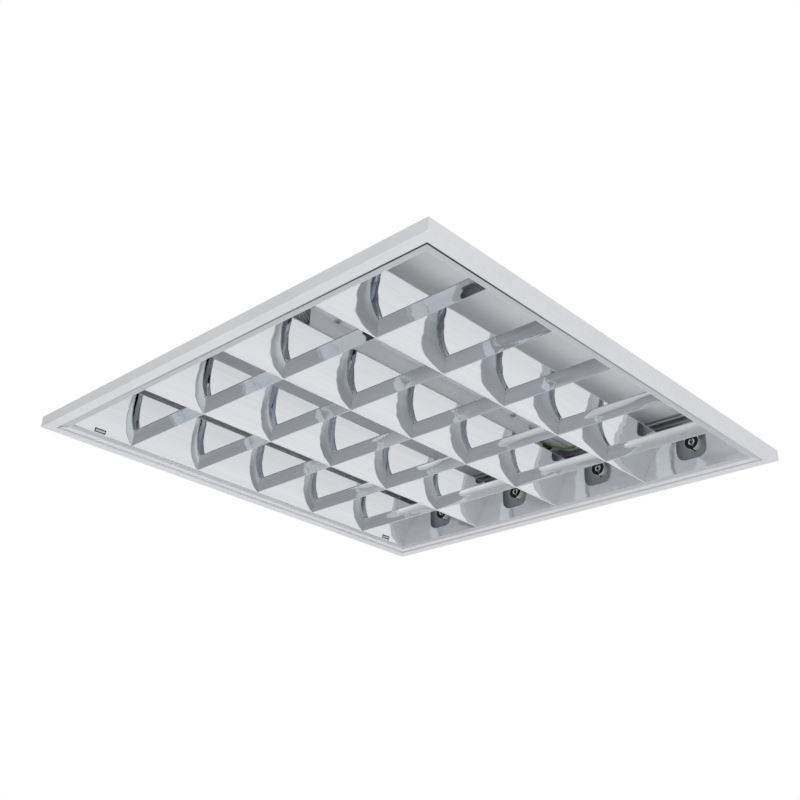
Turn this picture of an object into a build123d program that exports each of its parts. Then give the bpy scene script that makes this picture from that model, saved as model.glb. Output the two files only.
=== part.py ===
from build123d import *
import math
import os

# Recessed troffer light, 595 x 595 mm, four lamp strips under a hinged parabolic louvre.
#
# Origin: centre of the plane of the rim's visible face. +Z goes up into the ceiling void, the lamps lie
# along Y, the louvre's latches are on the -X side and its hinge on the +X side. Millimetres.

# ---------------------------------------------------------------- driving sizes

# housing
MODULE = 595.0                # outside of the rim, both ways
RIM_WIDTH = 12.3              # visible face of the rim
RIM_HEIGHT = 13.0             # outer lip of the rim
HOUSING_HEIGHT = 85.0         # rim's face to the top of the tray
STEEL = 0.8                   # housing sheet
END_FOLD = 10.0               # fold of each end panel under the tray's top
FIXING_X = 270.0              # suspension holes in the tray's top
FIXING_Y = 450.0
FIXING_HOLE = 6.0

# louvre
LOUVRE_GAP = 1.2              # between the louvre's flange and the housing
FLANGE_WIDTH = 8.3            # louvre's flange
FLANGE_BASE = 1.6             # height of the flange's underside
FLANGE_SHEET = 0.8
UPSTAND = 14.0                # top of the rails' inner leg
MITRE_GAP = 1.8               # open mitre at the flange's front left corner
MIRROR = 0.6                  # reflector sheet
FIT = 0.1                     # gap between neighbouring sheets
STRIPS = 4
STRIP_SPARE = 6.2             # half of what the equal lamp strips leave over across the louvre
REFLECTOR_BASE = 6.4          # bottom crease of the reflectors and the blades
REFLECTOR_HEIGHT = 51.0
REFLECTOR_MID = 13.1          # half width of a V reflector at half its height
REFLECTOR_TOP = 34.0          # half width of a V reflector at its top
BLADES = 5
END_CELL = 82.8               # from each end plate to the nearest row of blades
BLADE_HEIGHT = 16.0
BLADE_MID = 2.1
BLADE_TOP = 5.0
BLADE_SHEET = 0.5
BLADE_END_GAP = 0.25          # between a blade's end and the reflector beside it
CUTOUT_WIDTH = 40.0           # U-shaped cut-outs of the louvre's end plates
CUTOUT_BASE = 20.5
CUTOUT_CORNER = 12.0

# lampholders
LAMP_AXIS = 43.0              # height of the lamps' axis
HOLDER_STAND = 0.6            # from the end wall; a 549 mm lamp then has 1.7 mm of play at each end
HOLDER_HALF = 9.5
HOLDER_DEPTH = 8.4
HOLDER_BORE = 5.66            # around the rotor's disc
ROTOR_DISC = 5.6
HOLDER_MOUTH = 4.96           # around the rotor's front boss
ROTOR_BOSS = 4.9
HOLDER_RECESS = 6.6           # shallow ring in the holder's face
RECESS_DEPTH = 1.2
LIP_DEPTH = 1.2
ROTOR_DISC_DEPTH = 4.6
ROTOR_PLAY = 0.1              # axial play of the rotor
PIN_SLOT = 2.9
RAIL_DROP = 14.2              # from the tray down to the rails that the holders hang from
RAIL_DEPTH = 12.4
RAIL_SHEET = 0.8
RAIL_GAP = 1.2                # from a rail's upright leg to the end panel's fold
NECK_INSET = 1.0              # from a holder's back to its neck
NECK_HALF = 5.0
NECK_DEPTH = 6.8
NECK_HEIGHT = 2.6
SNAP = 0.8                    # overhang of the holder's snap hooks
SNAP_PLAY = 0.2

# ballast and its cover
BALLAST_INSET = 115.2         # from the end wall to the ballast
BALLAST_HALF = 20.0
BALLAST_HEIGHT = 21.6
BALLAST_SHEET = 0.6
BALLAST_BLOCK = 12.0          # terminal block at each end
BOARD_DROP = 17.6             # from the tray down to the circuit board's top
BOARD_SHEET = 1.6
COVER_HALF = 27.0
COVER_HEIGHT = 24.0
COVER_REACH = 16.0            # cover beyond the ballast's end
COVER_FOOT = 7.0
COVER_SCREW_INSET = 36.0      # from the cover's end to its screws
BOARD_GAP = 2.0               # from the board to the terminal blocks
CHOKE_X = -3.0
CHOKE_HALF = 9.0
CHOKE_HEIGHT = 12.0
CAPACITOR_X = 6.0
CAPACITOR_RADIUS = 5.0
CAPACITOR_HEIGHT = 14.0
SINK_X = 13.0
SINK_HALF = 1.0
SINK_HEIGHT = 13.0
LAMP_POLE_RISE = 9.0          # lamp lead poles above the board
MAINS_POLE_RISE = 3.0
POLE_BLOCK_RISE = 13.0        # top of the ballast's terminal blocks above the board
POLE_DEPTH = 6.0

# terminal block, grommet, earth screw
TERMINAL_INSET = 66.2         # from the end wall to the terminal block's middle
TERMINAL_HALF = 13.0
TERMINAL_DEPTH = 26.0
TERMINAL_HEIGHT = 17.0
TERMINAL_HOLE = 7.0           # depth of its wire holes
WIRE_HOLE_DROP = 5.7          # from the tray down to their axes
POLE_PITCH = 8.0
BUTTON_WIDTH = 4.8
BUTTON_DEPTH = 5.8
BUTTON_PLAY = 0.1
BUTTON_PROUD = 1.6
BUTTON_TRAVEL = 1.2
BUTTON_LENGTH = 6.4
GROMMET_INSET = 31.2          # from the end wall to the grommet's axis
GROMMET_BORE = 5.0
GROMMET_NECK = 8.0
GROMMET_FLANGE = 10.5
GROMMET_LIP = 2.2
EARTH_X = 70.0
EARTH_INSET = 20.2            # from the end wall to the earth screw
LUG_SHEET = 0.8
LUG_HALF = 2.0
LUG_REACH = 11.0              # from the screw to the barrel's mouth
LUG_BARREL_LENGTH = 5.5
LUG_BARREL_WALL = 0.7
LUG_HOLE = 4.5
SCREW_RADIUS = 1.5
SCREW_HEAD = 3.2
SCREW_HEAD_HEIGHT = 2.2
SCREW_TIP = 2.0               # how far a screw stands out above the tray
CROSS_HALF = 1.8              # cross recess of a screw
CROSS_SLOT = 0.4

# wires
LEAD = 1.6                    # lamp leads, outside diameter
LEAD_PITCH = 1.85             # between leads that run side by side
LEAD_SPREAD = 2.2             # half distance of the two leads of a lampholder
MAINS_LEAD = 2.4
EARTH_LEAD = 3.0
BEND = 9.0                    # largest bend radius of a wire
LEAD_FALL = 2.7               # from the tray down to the lamp leads' centres
LEAD_RISE = 27.0              # from the ballast to where the lamp leads reach that height
MAINS_RUN = 14.0              # straight length of the mains leads at the ballast
WIRE_GRIP = 5.0               # length of a wire inside its terminal
WIRE_STUB = 6.0               # straight length before its first bend
EARTH_TURN = 13.0             # loop of the earth wire before the terminal block
EARTH_SIDE = 19.0             # from the earth pole to the wire's run beside the block
EARTH_DIP = 8.5               # how far that run hangs under the wire holes
EARTH_BOW = 16.0              # bow of the earth wire before the lug

# latches and hinge
LATCH_INSET = 48.2            # from the end wall to a latch's middle
LATCH_WIDTH = 12.0
LATCH_SHEET = 1.4
LATCH_HEIGHT = 9.0            # underside of the latch plate
LATCH_TRAVEL = 3.0
LATCH_BITE = 1.4              # nose beyond the housing wall's outer face
LATCH_TONGUE = 1.0            # tongue inside the mirrored face
LATCH_PLAY = 0.3
COLLAR_WIDTH = 1.2
COLLAR_EAR = 1.6
COLLAR_SPARE = 1.3            # left between collar and rail when the latch is pulled in
LATCH_TAB = 3.0               # height of the tab that the spring pushes
TAB_INSET = 1.0
SLOT_LENGTH = 14.5            # visible slot in the reflector
SLOT_PLAY = 0.9               # slot in the rail above and below the latch plate
SIGHT_PLAY = 1.5              # the same in the reflector, where the slot is seen
GUIDE_SHEET = 1.0
GUIDE_EAR = 3.0
GUIDE_SETBACK = 2.0           # from the rail's inner edge to the guide's foot
SPRING_SHEET = 0.3
SPRING_INSET = 0.8            # spring's edges inside the latch's
SPRING_RISE = 0.4
HINGE_SETBACK = 6.0           # from the flange's outer edge to the hinge axis
HINGE_RISE = 2.2              # hinge axis above the flange
HINGE_INSET = 85.2            # from the end wall to a hinge's middle
PIN_RADIUS = 1.1
PIN_PLAY = 0.06
KNUCKLE_RADIUS = 2.1
KNUCKLE_HALF = 5.6
KNUCKLE_FOOT = 1.4
KNUCKLE_PLAY = 0.4
EAR_SHEET = 1.2
EAR_WIDTH = 5.0
BRACKET_LEG = 14.0            # height of the bracket's level leg
BRACKET_TOP = 30.0
BRACKET_SHEET = 1.0

# ---------------------------------------------------------------- worked out from them

RIM = MODULE / 2
WALL_IN = RIM - RIM_WIDTH                       # inner face of the housing's walls
WALL_OUT = WALL_IN + STEEL
CEILING = HOUSING_HEIGHT - STEEL                # underside of the tray's top
FLANGE_OUT = WALL_IN - LOUVRE_GAP
FLANGE_IN = FLANGE_OUT - FLANGE_WIDTH
APERTURE = FLANGE_IN - FIT - MIRROR             # mirrored face of the louvre's sides
STRIP_PITCH = 2 * (APERTURE - STRIP_SPARE) / STRIPS
BLADE_PITCH = 2 * (APERTURE - END_CELL) / (BLADES - 1)
FLANGE_TOP = FLANGE_BASE + FLANGE_SHEET
REFLECTOR_END = APERTURE - 2 * FIT              # reflectors stop short of the end plates
LOUVRE_TOP = REFLECTOR_BASE + REFLECTOR_HEIGHT
REFLECTOR_X = [(i - (STRIPS - 2) / 2) * STRIP_PITCH for i in range(STRIPS - 1)]
LAMP_X = [(i - (STRIPS - 1) / 2) * STRIP_PITCH for i in range(STRIPS)]
BLADE_Y = [(i - (BLADES - 1) / 2) * BLADE_PITCH for i in range(BLADES)]
HOLDER_BACK = WALL_IN - HOLDER_STAND
HOLDER_FACE = HOLDER_BACK - HOLDER_DEPTH
NECK_BACK = HOLDER_BACK - NECK_INSET
NECK_FRONT = NECK_BACK - NECK_DEPTH
RAIL_HEIGHT = CEILING - RAIL_DROP
NECK_TOP = RAIL_HEIGHT + NECK_HEIGHT
RAIL_TOP = RAIL_HEIGHT + RAIL_SHEET
BALLAST_END = WALL_IN - BALLAST_INSET
COVER_END = BALLAST_END + COVER_REACH
BALLAST_BASE = CEILING - BALLAST_HEIGHT
BOARD_TOP = CEILING - BOARD_DROP
LAMP_POLE_Z = BOARD_TOP + LAMP_POLE_RISE
MAINS_POLE_Z = BOARD_TOP + MAINS_POLE_RISE
LEAD_LEVEL = CEILING - LEAD_FALL
COVER_BASE = CEILING - COVER_HEIGHT
SCREW_HOLE = SCREW_RADIUS + 0.1
TERMINAL_Y = WALL_IN - TERMINAL_INSET
TERMINAL_FRONT = TERMINAL_Y - TERMINAL_DEPTH / 2
TERMINAL_BASE = CEILING - TERMINAL_HEIGHT
POLE_X = [-POLE_PITCH, 0, POLE_PITCH]
WIRE_HOLE_Z = CEILING - WIRE_HOLE_DROP
GROMMET_Y = WALL_IN - GROMMET_INSET
EARTH_Y = WALL_IN - EARTH_INSET
LUG_BARREL = EARTH_LEAD / 2 + LUG_BARREL_WALL
LUG_Z = CEILING - LUG_BARREL
LUG_END = EARTH_X - LUG_REACH
LATCH_Y = WALL_IN - LATCH_INSET
LATCH_MID = LATCH_HEIGHT + LATCH_SHEET / 2
COLLAR_IN = FLANGE_IN + FLANGE_SHEET + LATCH_TRAVEL + COLLAR_SPARE
COLLAR_OUT = COLLAR_IN + COLLAR_WIDTH
GUIDE_IN = COLLAR_OUT + 2 * FIT
LATCH_NOSE = WALL_OUT + LATCH_BITE
HINGE_X = FLANGE_OUT - HINGE_SETBACK
HINGE_Z = FLANGE_TOP + HINGE_RISE
HINGE_Y = WALL_IN - HINGE_INSET


# ---------------------------------------------------------------- small helpers

def slab(x0, x1, y0, y1, z0, z1):
    """Block between two corners."""
    centre = Location(((x0 + x1) / 2, (y0 + y1) / 2, (z0 + z1) / 2))
    return centre * Box(abs(x1 - x0), abs(y1 - y0), abs(z1 - z0))


def plate(points, z0, z1):
    """Flat outline in X and Y, extruded in Z."""
    outline = make_face(Polyline(*points, close=True))
    return Pos(0, 0, z0) * extrude(outline, amount=z1 - z0, dir=(0, 0, 1))


def rod(radius, start, end):
    """Round bar from one point to another."""
    start = Vector(start)
    run = Vector(end) - start
    return extrude(Plane(start, z_dir=run) * Circle(radius), amount=run.length)


def mirrored(part, across):
    """The part on the other side of a plane through the origin."""
    return mirror(part, about=across)


def at_end(part, front):
    """The +Y part itself, or its mirror image at the -Y end."""
    return mirrored(part, Plane.XZ) if front else part


def arc_width(mid, top, height):
    """Half width at a height above the crease, on a circle through crease, middle and top."""
    centre_u = (top ** 2 - 2 * mid ** 2 + height ** 2 / 2) / (2 * top - 4 * mid)
    centre_v = (mid ** 2 + height ** 2 / 4 - 2 * mid * centre_u) / height
    radius = math.hypot(centre_u, centre_v)
    return lambda h: centre_u - math.sqrt(radius ** 2 - (h - centre_v) ** 2)


REFLECTOR_WIDTH = arc_width(REFLECTOR_MID, REFLECTOR_TOP, REFLECTOR_HEIGHT)
BLADE_WIDTH = arc_width(BLADE_MID, BLADE_TOP, BLADE_HEIGHT)


def height_of_width(width, half, top):
    """Height at which a flank reaches a half width, by bisection."""
    low = 0.0
    high = top
    for _ in range(60):
        middle = (low + high) / 2
        if width(middle) < half:
            low = middle
        else:
            high = middle
    return low


def flank(width, low, high, shift, side=1):
    """Arc of a reflector's flank between two heights above the crease, moved outward by a shift."""
    points = [(side * (width(h) + shift), REFLECTOR_BASE + h) for h in (low, (low + high) / 2, high)]
    return ThreePointArc(*points)


def run_out(outline, plane, length):
    """Extrude an outline both ways along its plane's normal."""
    return extrude(plane * outline, amount=length / 2, both=True)


def v_outline(width, height, sheet):
    """Cross-section of a V folded from sheet: two curved flanks on one crease."""
    low = height_of_width(width, sheet, height)
    rim = REFLECTOR_BASE + height
    outer = width(height)
    inner = outer - sheet
    edges = [flank(width, 0, height, 0), Line((outer, rim), (inner, rim))]
    edges += [flank(width, low, height, -sheet), flank(width, low, height, -sheet, -1)]
    edges += [Line((-inner, rim), (-outer, rim)), flank(width, 0, height, 0, -1)]
    return make_face(Wire(edges))


def v_envelope(grow):
    """Cross-section that holds a long V reflector and a gap around it."""
    rim = LOUVRE_TOP
    outer = REFLECTOR_TOP + grow
    edges = [flank(REFLECTOR_WIDTH, 0, REFLECTOR_HEIGHT, grow), Line((outer, rim), (-outer, rim))]
    edges += [flank(REFLECTOR_WIDTH, 0, REFLECTOR_HEIGHT, grow, -1)]
    edges += [Line((-grow, REFLECTOR_BASE), (grow, REFLECTOR_BASE))]
    return make_face(Wire(edges))


def side_edges(shift):
    """Straight foot and curved flank of the louvre's right side, from bottom to top."""
    foot = Line((APERTURE + shift, FLANGE_BASE), (APERTURE + shift, REFLECTOR_BASE))
    points = []
    for h in (0, REFLECTOR_HEIGHT / 2, REFLECTOR_HEIGHT):
        points.append((APERTURE - REFLECTOR_WIDTH(h) + shift, REFLECTOR_BASE + h))
    return [foot, ThreePointArc(*points)]


def bend_radii(points):
    """Bend at each inner point: as large as its two runs allow, up to BEND."""
    radii = []
    for before, corner, after in zip(points, points[1:], points[2:]):
        first = Vector(corner) - Vector(before)
        second = Vector(after) - Vector(corner)
        half_turn = math.radians(first.get_angle(second)) / 2
        allowed = 0.45 * min(first.length, second.length) / math.tan(half_turn)
        radii.append(min(BEND, allowed))
    return radii


def wire(points, diameter):
    """Insulated wire along its route."""
    path = FilletPolyline(*points, radius=bend_radii(points))
    start = Plane(points[0], z_dir=Vector(points[1]) - Vector(points[0]))
    return sweep(start * Circle(diameter / 2), path=path)


os.makedirs("parts", exist_ok=True)


def write(name, shape):
    """One node: a single solid, or a group of separate solids."""
    if isinstance(shape, list):
        shape = Compound(children=[solid for piece in shape for solid in piece.solids()])
    shape.label = name
    export_step(shape, f"parts/{name}.step")


# ---------------------------------------------------------------- housing

def rim_side():
    """Visible face and outer lip of the rim on the +X side, mitred at both ends."""
    inner = RIM - STEEL
    face = plate([(WALL_IN, -WALL_IN), (RIM, -RIM), (RIM, RIM), (WALL_IN, WALL_IN)], 0, STEEL)
    lip = plate([(inner, -inner), (RIM, -RIM), (RIM, RIM), (inner, inner)], 0, RIM_HEIGHT)
    return face + lip


def screw_places():
    """Gear cover screws."""
    x = COVER_HALF + COVER_FOOT / 2
    y = COVER_END - COVER_SCREW_INSET
    return [(sx * x, sy * y) for sx in (-1, 1) for sy in (-1, 1)]


def make_housing_tray():
    """Top and two sides with their rims, the cable hole, screw and suspension holes, latch slots."""
    tray = slab(-WALL_OUT, WALL_OUT, -WALL_OUT, WALL_OUT, CEILING, HOUSING_HEIGHT)
    rim = rim_side()
    for turn in (0, 180):
        tray += slab(WALL_IN, WALL_OUT, -WALL_OUT, WALL_OUT, STEEL, CEILING).rotate(Axis.Z, turn)
        tray += rim.rotate(Axis.Z, turn)
    above = HOUSING_HEIGHT + 1
    below = CEILING - 1
    tray -= rod(GROMMET_NECK, (0, GROMMET_Y, below), (0, GROMMET_Y, above))
    for x, y in screw_places() + [(EARTH_X, EARTH_Y)]:
        tray -= rod(SCREW_HOLE, (x, y, below), (x, y, above))
    for sx in (-1, 1):
        for sy in (-1, 1):
            x = sx * FIXING_X / 2
            y = sy * FIXING_Y / 2
            tray -= rod(FIXING_HOLE / 2, (x, y, below), (x, y, above))
    for sy in (-1, 1):
        y = sy * LATCH_Y
        half = LATCH_WIDTH / 2 + LATCH_PLAY
        low = LATCH_HEIGHT - LATCH_PLAY
        high = LATCH_HEIGHT + LATCH_SHEET + 2 * LATCH_PLAY
        tray -= slab(-WALL_OUT - 1, -WALL_IN + 1, y - half, y + half, low, high)
    return tray


def make_housing_end():
    """End panel on the +Y side: wall, rim and a fold under the tray's top."""
    end = slab(-WALL_IN, WALL_IN, WALL_IN, WALL_OUT, STEEL, CEILING)
    end += slab(-WALL_IN, WALL_IN, WALL_IN - END_FOLD, WALL_IN, CEILING - STEEL, CEILING)
    return end + rim_side().rotate(Axis.Z, 90)


# ---------------------------------------------------------------- lampholders

def make_holder_rail():
    """Angle along the +Y end that the lampholders snap into."""
    half = LAMP_X[-1] + HOLDER_HALF + 2 * NECK_HALF
    back = WALL_IN
    rail = slab(-half, half, back - RAIL_DEPTH, back, RAIL_HEIGHT, RAIL_TOP)
    rail += slab(-half, half, back - RAIL_SHEET, back, RAIL_TOP, CEILING - STEEL - RAIL_GAP)
    for x in LAMP_X:
        hole_x = NECK_HALF + SNAP_PLAY
        front = NECK_FRONT - SNAP_PLAY
        rail -= slab(x - hole_x, x + hole_x, front, NECK_BACK + SNAP_PLAY, RAIL_HEIGHT - 1, RAIL_TOP + 1)
    return rail


def make_holder(x):
    """Rotary lampholder at the +Y end: body with a round bore, a pin slot and a snap-in neck."""
    face = HOLDER_FACE
    body = rod(HOLDER_HALF, (x, face, LAMP_AXIS), (x, HOLDER_BACK, LAMP_AXIS))
    body += slab(x - HOLDER_HALF, x + HOLDER_HALF, face, HOLDER_BACK, LAMP_AXIS, RAIL_HEIGHT)
    body += slab(x - NECK_HALF, x + NECK_HALF, NECK_FRONT, NECK_BACK, RAIL_HEIGHT, NECK_TOP)
    hook = NECK_HALF + SNAP
    body += slab(x - hook, x + hook, NECK_FRONT, NECK_BACK, RAIL_TOP + SNAP_PLAY, NECK_TOP)
    lip = face + RECESS_DEPTH + LIP_DEPTH
    floor = lip + ROTOR_DISC_DEPTH + 2 * ROTOR_PLAY
    body -= rod(HOLDER_RECESS, (x, face - 1, LAMP_AXIS), (x, face + RECESS_DEPTH, LAMP_AXIS))
    body -= rod(HOLDER_MOUTH, (x, face, LAMP_AXIS), (x, lip + 0.5, LAMP_AXIS))
    body -= rod(HOLDER_BORE, (x, lip, LAMP_AXIS), (x, floor, LAMP_AXIS))
    slot = PIN_SLOT / 2
    body -= slab(x - slot, x + slot, face - 1, floor, LAMP_AXIS - HOLDER_HALF - 1, LAMP_AXIS)
    return body


def make_rotor(x):
    """Rotor of a lampholder: boss in front, disc behind the lip, and the slot for the lamp's pins."""
    lip = HOLDER_FACE + RECESS_DEPTH + LIP_DEPTH
    front = HOLDER_FACE + 2 * ROTOR_PLAY
    disc_front = lip + ROTOR_PLAY
    rotor = rod(ROTOR_BOSS, (x, front, LAMP_AXIS), (x, disc_front + 1, LAMP_AXIS))
    rotor += rod(ROTOR_DISC, (x, disc_front, LAMP_AXIS), (x, disc_front + ROTOR_DISC_DEPTH, LAMP_AXIS))
    slot = PIN_SLOT / 2
    reach = ROTOR_DISC + 1
    back = disc_front + ROTOR_DISC_DEPTH - 1
    rotor -= slab(x - slot, x + slot, front - 1, back, LAMP_AXIS - reach, LAMP_AXIS + reach)
    return rotor


# ---------------------------------------------------------------- control gear

def make_ballast_base():
    """Steel channel of the ballast against the tray, open downward."""
    wall = BALLAST_SHEET
    end = BALLAST_END
    low = CEILING - 0.8 * BALLAST_HEIGHT
    base = slab(-BALLAST_HALF, BALLAST_HALF, -end, end, CEILING - wall, CEILING)
    for side in (-1, 1):
        base += slab(side * BALLAST_HALF, side * (BALLAST_HALF - wall), -end, end, low, CEILING)
    return base


def make_ballast_cover():
    """Lower channel of the ballast, inside the base's walls."""
    wall = BALLAST_SHEET
    end = BALLAST_END
    half = BALLAST_HALF - wall - 2 * FIT
    cover = slab(-half, half, -end, end, BALLAST_BASE, BALLAST_BASE + wall)
    for side in (-1, 1):
        cover += slab(side * half, side * (half - wall), -end, end, BALLAST_BASE, CEILING - 2 * wall)
    return cover


def make_ballast_board():
    """Circuit board with its chokes, capacitors and heat sink."""
    half = BALLAST_HALF - 2 * BALLAST_SHEET - 5 * FIT
    end = BALLAST_END - BALLAST_BLOCK - BOARD_GAP
    foot = BOARD_TOP - BOARD_SHEET / 2
    left = CHOKE_X - CHOKE_HALF
    right = CHOKE_X + CHOKE_HALF
    board = slab(-half, half, -end, end, BOARD_TOP - BOARD_SHEET, BOARD_TOP)
    for share in (-0.72, -0.3, 0.12, 0.54):
        y = share * end
        board += slab(left, right, y - CHOKE_HALF, y + CHOKE_HALF, foot, BOARD_TOP + CHOKE_HEIGHT)
    for share in (-0.5, -0.1, 0.32, 0.8):
        y = share * end
        top = BOARD_TOP + CAPACITOR_HEIGHT
        board += rod(CAPACITOR_RADIUS, (CAPACITOR_X, y, foot), (CAPACITOR_X, y, top))
    top = BOARD_TOP + SINK_HEIGHT
    return board + slab(SINK_X - SINK_HALF, SINK_X + SINK_HALF, -0.1 * end, 0.4 * end, foot, top)


def terminal_places():
    """Lamp lead poles across the ballast's end, from the middle outwards, for one side."""
    poles = STRIPS
    pitch = (2 * BALLAST_HALF - 6 * BALLAST_SHEET) / (2 * poles)
    return [(i + 0.5) * pitch for i in range(poles)]


def make_ballast_terminals():
    """Terminal block at the ballast's +Y end: lamp poles above, mains poles below."""
    half = BALLAST_HALF - 2 * BALLAST_SHEET - 5 * FIT
    back = BALLAST_END - BALLAST_BLOCK
    low = BALLAST_BASE + 2 * BALLAST_SHEET
    block = slab(-half, half, back, BALLAST_END, low, BOARD_TOP + POLE_BLOCK_RISE)
    deep = BALLAST_END - POLE_DEPTH
    out = BALLAST_END + 1
    for x in terminal_places():
        for side in (-1, 1):
            at = side * x
            block -= rod(LEAD / 2 + FIT, (at, deep, LAMP_POLE_Z), (at, out, LAMP_POLE_Z))
    for at in POLE_X:
        block -= rod(MAINS_LEAD / 2 + FIT, (at, deep, MAINS_POLE_Z), (at, out, MAINS_POLE_Z))
    return block


def make_gear_cover():
    """Folded cover over the ballast, with feet against the tray's top."""
    end = COVER_END
    cover = slab(-COVER_HALF, COVER_HALF, -end, end, COVER_BASE, COVER_BASE + STEEL)
    for side in (-1, 1):
        outer = side * COVER_HALF
        cover += slab(outer, outer - side * STEEL, -end, end, COVER_BASE, CEILING)
        cover += slab(outer, outer + side * COVER_FOOT, -end, end, CEILING - STEEL, CEILING)
    for x, y in screw_places():
        cover -= rod(SCREW_HOLE, (x, y, CEILING - STEEL - 1), (x, y, CEILING + 1))
    return cover


def make_screw(x, y, seat):
    """Pan-head screw from below, through the tray's top."""
    screw = rod(SCREW_HEAD, (x, y, seat - SCREW_HEAD_HEIGHT), (x, y, seat))
    screw = fillet(screw.edges().group_by(Axis.Z)[0], 0.45 * SCREW_HEAD_HEIGHT)
    screw += rod(SCREW_RADIUS, (x, y, seat - 0.5), (x, y, HOUSING_HEIGHT + SCREW_TIP))
    low = seat - SCREW_HEAD_HEIGHT
    for reach_x, reach_y in ((CROSS_HALF, CROSS_SLOT), (CROSS_SLOT, CROSS_HALF)):
        screw -= slab(x - reach_x, x + reach_x, y - reach_y, y + reach_y, low - 1, low + 1)
    return screw


# ---------------------------------------------------------------- mains terminal, grommet, earth

def make_terminal_block():
    """Three-pole block on the tray, with a wire hole on both sides and a button well in each pole."""
    front = TERMINAL_FRONT
    back = TERMINAL_FRONT + TERMINAL_DEPTH
    block = slab(-TERMINAL_HALF, TERMINAL_HALF, front, back, TERMINAL_BASE, CEILING)
    block = chamfer(block.edges().group_by(Axis.Z)[0], 0.8)
    well_x = BUTTON_WIDTH / 2 + BUTTON_PLAY
    well_y = BUTTON_DEPTH / 2 + BUTTON_PLAY
    well_top = TERMINAL_BASE - BUTTON_PROUD + BUTTON_LENGTH + BUTTON_TRAVEL + 2 * BUTTON_PLAY
    for x in POLE_X:
        y = TERMINAL_Y
        block -= slab(x - well_x, x + well_x, y - well_y, y + well_y, TERMINAL_BASE - 1, well_top)
        for start, end in ((front - 1, front + TERMINAL_HOLE), (back - TERMINAL_HOLE, back + 1)):
            block -= rod(EARTH_LEAD / 2 + 2 * FIT, (x, start, WIRE_HOLE_Z), (x, end, WIRE_HOLE_Z))
    return block


def make_button(x):
    """Release button of one pole."""
    low = TERMINAL_BASE - BUTTON_PROUD
    half_x = BUTTON_WIDTH / 2
    half_y = BUTTON_DEPTH / 2
    button = slab(x - half_x, x + half_x, TERMINAL_Y - half_y, TERMINAL_Y + half_y, low, low + BUTTON_LENGTH)
    return chamfer(button.edges().group_by(Axis.Z)[0], 0.5)


def make_grommet():
    """Rubber grommet in the tray's cable hole."""
    low = CEILING - GROMMET_LIP
    high = HOUSING_HEIGHT + GROMMET_LIP
    neck = GROMMET_NECK - FIT
    grommet = rod(GROMMET_FLANGE, (0, GROMMET_Y, low), (0, GROMMET_Y, CEILING))
    grommet += rod(neck, (0, GROMMET_Y, low), (0, GROMMET_Y, high))
    grommet += rod(GROMMET_FLANGE, (0, GROMMET_Y, HOUSING_HEIGHT), (0, GROMMET_Y, high))
    grommet = fillet(grommet.edges().group_by(Axis.Z)[0], 0.4 * GROMMET_LIP)
    grommet = fillet(grommet.edges().group_by(Axis.Z)[-1], 0.4 * GROMMET_LIP)
    return grommet - rod(GROMMET_BORE, (0, GROMMET_Y, low - 1), (0, GROMMET_Y, high + 1))


def make_earth_lug():
    """Ring lug under the earth screw, its barrel pointing along -X."""
    low = CEILING - LUG_SHEET
    lug = rod(2.8 * SCREW_RADIUS, (EARTH_X, EARTH_Y, low), (EARTH_X, EARTH_Y, CEILING))
    lug += slab(LUG_END + LUG_HOLE, EARTH_X, EARTH_Y - LUG_HALF, EARTH_Y + LUG_HALF, low, CEILING)
    lug += rod(LUG_BARREL, (LUG_END, EARTH_Y, LUG_Z), (LUG_END + LUG_BARREL_LENGTH, EARTH_Y, LUG_Z))
    hole_end = (LUG_END + LUG_HOLE, EARTH_Y, LUG_Z)
    lug -= rod(EARTH_LEAD / 2 + FIT, (LUG_END - 1, EARTH_Y, LUG_Z), hole_end)
    return lug - rod(SCREW_HOLE, (EARTH_X, EARTH_Y, low - 1), (EARTH_X, EARTH_Y, CEILING + 1))


def make_earth_wire():
    """From the terminal block's earth pole, around the gear, to the ring lug."""
    x = POLE_X[-1]
    front = TERMINAL_FRONT
    run_x = x + EARTH_SIDE
    half_dip = WIRE_HOLE_Z - 0.6 * EARTH_DIP
    route = [
        (x, front + WIRE_GRIP, WIRE_HOLE_Z),
        (x, front - WIRE_STUB, WIRE_HOLE_Z),
        (x + 0.4 * EARTH_SIDE, front - EARTH_TURN, half_dip),
        (x + 0.9 * EARTH_SIDE, front - WIRE_STUB / 3, WIRE_HOLE_Z - EARTH_DIP),
        (run_x, front + TERMINAL_DEPTH, WIRE_HOLE_Z - EARTH_DIP),
        (LUG_END - 1.5 * EARTH_BOW, EARTH_Y - EARTH_BOW, WIRE_HOLE_Z - EARTH_DIP),
        (LUG_END - EARTH_BOW, EARTH_Y - EARTH_BOW / 4, half_dip),
        (LUG_END - EARTH_BOW / 2, EARTH_Y, LUG_Z),
        (LUG_END + 0.8 * LUG_HOLE, EARTH_Y, LUG_Z),
    ]
    return wire(route, EARTH_LEAD)


def make_mains_wires():
    """Line and neutral from the terminal block to the ballast."""
    leads = []
    for x in POLE_X[:2]:
        route = [
            (x, TERMINAL_FRONT + WIRE_GRIP, WIRE_HOLE_Z),
            (x, TERMINAL_FRONT - WIRE_STUB, WIRE_HOLE_Z),
            (x, BALLAST_END + MAINS_RUN, MAINS_POLE_Z),
            (x, BALLAST_END - WIRE_GRIP, MAINS_POLE_Z),
        ]
        leads.append(wire(route, MAINS_LEAD))
    return leads


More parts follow.
